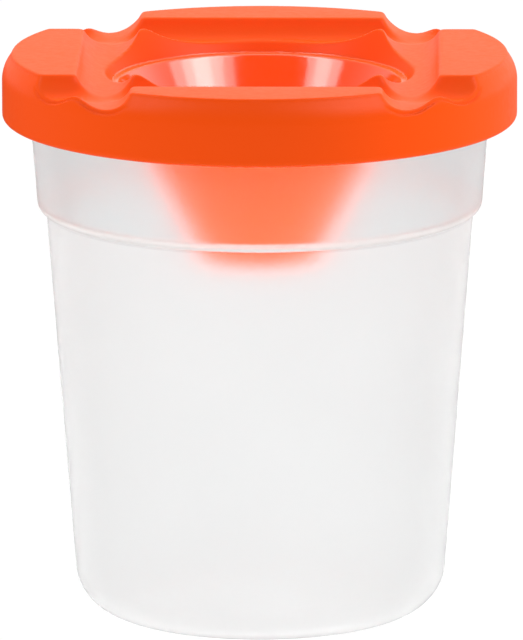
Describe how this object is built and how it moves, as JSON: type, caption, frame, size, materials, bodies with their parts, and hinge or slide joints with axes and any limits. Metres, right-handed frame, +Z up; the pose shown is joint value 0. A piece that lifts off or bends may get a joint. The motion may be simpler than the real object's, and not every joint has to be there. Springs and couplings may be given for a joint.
{
  "type": "brush washer",
  "caption": "Round frosted water pot for washing paint brushes, with a press-on lid that holds a funnel and half-round grooves to rest brushes in.",
  "frame": {"origin": "centre of the cup's flat base, on the surface it stands on", "axes": "+Z up along the cup's and the funnel's axis; the lid's brush grooves run along X and along Y"},
  "size_m": [0.085, 0.085, 0.094],
  "materials": {
    "frosted_plastic": "frosted translucent, satin outside",
    "orange_plastic": "satin, with a polished funnel inside"
  },
  "bodies": {
    "cup": {"cup": "frosted_plastic"},
    "lid": {"lid": "orange_plastic"}
  },
  "joints": [
    {"name": "lid_lift", "type": "slide", "parent": "cup", "child": "lid", "axis": [0, 0, 1], "range_m": [0, 0.045]}
  ]
}
